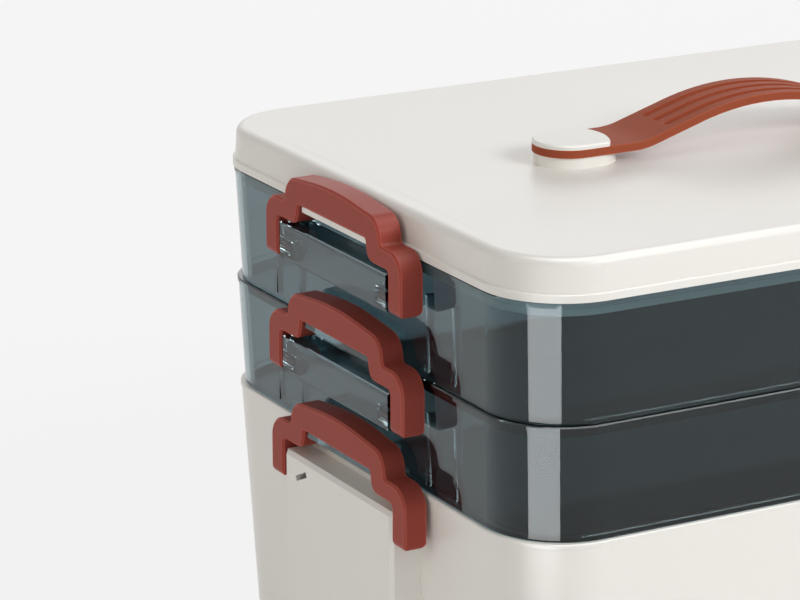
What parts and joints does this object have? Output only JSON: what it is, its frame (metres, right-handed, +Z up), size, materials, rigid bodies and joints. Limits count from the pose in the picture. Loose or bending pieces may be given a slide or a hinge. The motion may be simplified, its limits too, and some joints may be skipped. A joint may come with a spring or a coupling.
{
  "type": "medicine box with handle",
  "caption": "Stackable medicine box: deep base, clear stacking tiers, lid with a strap handle and arched snap latches on both ends.",
  "frame": {"origin": "centre of the footprint, on the surface that the feet stand on", "axes": "+Z up, +X along the long side towards one latched end, -Y towards the plain front"},
  "size_m": [0.3414, 0.232, 0.2236],
  "materials": {
    "cream_plastic": "satin moulded polypropylene",
    "smoky_plastic": "clear grey, polished",
    "terracotta_plastic": "satin",
    "terracotta_rubber": "matte, soft to the touch",
    "cap_plastic": "satin",
    "screw_steel": "zinc plated",
    "foot_rubber": "matte"
  },
  "bodies": {
    "base": {"base_box": "cream_plastic", "foot_1": "foot_rubber", "foot_2": "foot_rubber", "foot_3": "foot_rubber", "foot_4": "foot_rubber"},
    "middle_tier": {"middle_tier": "smoky_plastic"},
    "upper_tier": {"upper_tier": "smoky_plastic"},
    "lid": {"lid": "cream_plastic", "handle_strap": "terracotta_rubber", "handle_cap_left": "cap_plastic", "handle_cap_right": "cap_plastic", "handle_screw_left": "screw_steel", "handle_screw_right": "screw_steel"},
    "base_latch_left": {"base_latch_left": "terracotta_plastic"},
    "base_latch_right": {"base_latch_right": "terracotta_plastic"},
    "middle_latch_left": {"middle_latch_left": "terracotta_plastic"},
    "middle_latch_right": {"middle_latch_right": "terracotta_plastic"},
    "upper_latch_left": {"upper_latch_left": "terracotta_plastic"},
    "upper_latch_right": {"upper_latch_right": "terracotta_plastic"}
  },
  "joints": [
    {"name": "middle_lift", "type": "slide", "parent": "base", "child": "middle_tier", "axis": [0, 0, 1], "range_m": [0, 0.03]},
    {"name": "upper_lift", "type": "slide", "parent": "middle_tier", "child": "upper_tier", "axis": [0, 0, 1], "range_m": [0, 0.03]},
    {"name": "lid_lift", "type": "slide", "parent": "upper_tier", "child": "lid", "axis": [0, 0, 1], "range_m": [0, 0.03]},
    {"name": "base_latch_left_hinge", "type": "hinge", "parent": "base", "child": "base_latch_left", "pos_m": [-0.165, 0, 0.0955], "axis": [0, -1, 0], "range_deg": [0, 135]},
    {"name": "base_latch_right_hinge", "type": "hinge", "parent": "base", "child": "base_latch_right", "pos_m": [0.165, 0, 0.0955], "axis": [0, 1, 0], "range_deg": [0, 135]},
    {"name": "middle_latch_left_hinge", "type": "hinge", "parent": "middle_tier", "child": "middle_latch_left", "pos_m": [-0.1657, 0, 0.1361], "axis": [0, -1, 0], "range_deg": [0, 135]},
    {"name": "middle_latch_right_hinge", "type": "hinge", "parent": "middle_tier", "child": "middle_latch_right", "pos_m": [0.1657, 0, 0.1361], "axis": [0, 1, 0], "range_deg": [0, 135]},
    {"name": "upper_latch_left_hinge", "type": "hinge", "parent": "upper_tier", "child": "upper_latch_left", "pos_m": [-0.1664, 0, 0.1781], "axis": [0, -1, 0], "range_deg": [0, 135]},
    {"name": "upper_latch_right_hinge", "type": "hinge", "parent": "upper_tier", "child": "upper_latch_right", "pos_m": [0.1664, 0, 0.1781], "axis": [0, 1, 0], "range_deg": [0, 135]}
  ],
  "couplings": [
    {"joint": "base_latch_left_hinge", "follows": "middle_lift", "rad_per_m": 78.539},
    {"joint": "base_latch_right_hinge", "follows": "middle_lift", "rad_per_m": 78.539},
    {"joint": "middle_latch_left_hinge", "follows": "upper_lift", "rad_per_m": 78.539},
    {"joint": "middle_latch_right_hinge", "follows": "upper_lift", "rad_per_m": 78.539},
    {"joint": "upper_latch_left_hinge", "follows": "lid_lift", "rad_per_m": 78.539},
    {"joint": "upper_latch_right_hinge", "follows": "lid_lift", "rad_per_m": 78.539}
  ]
}
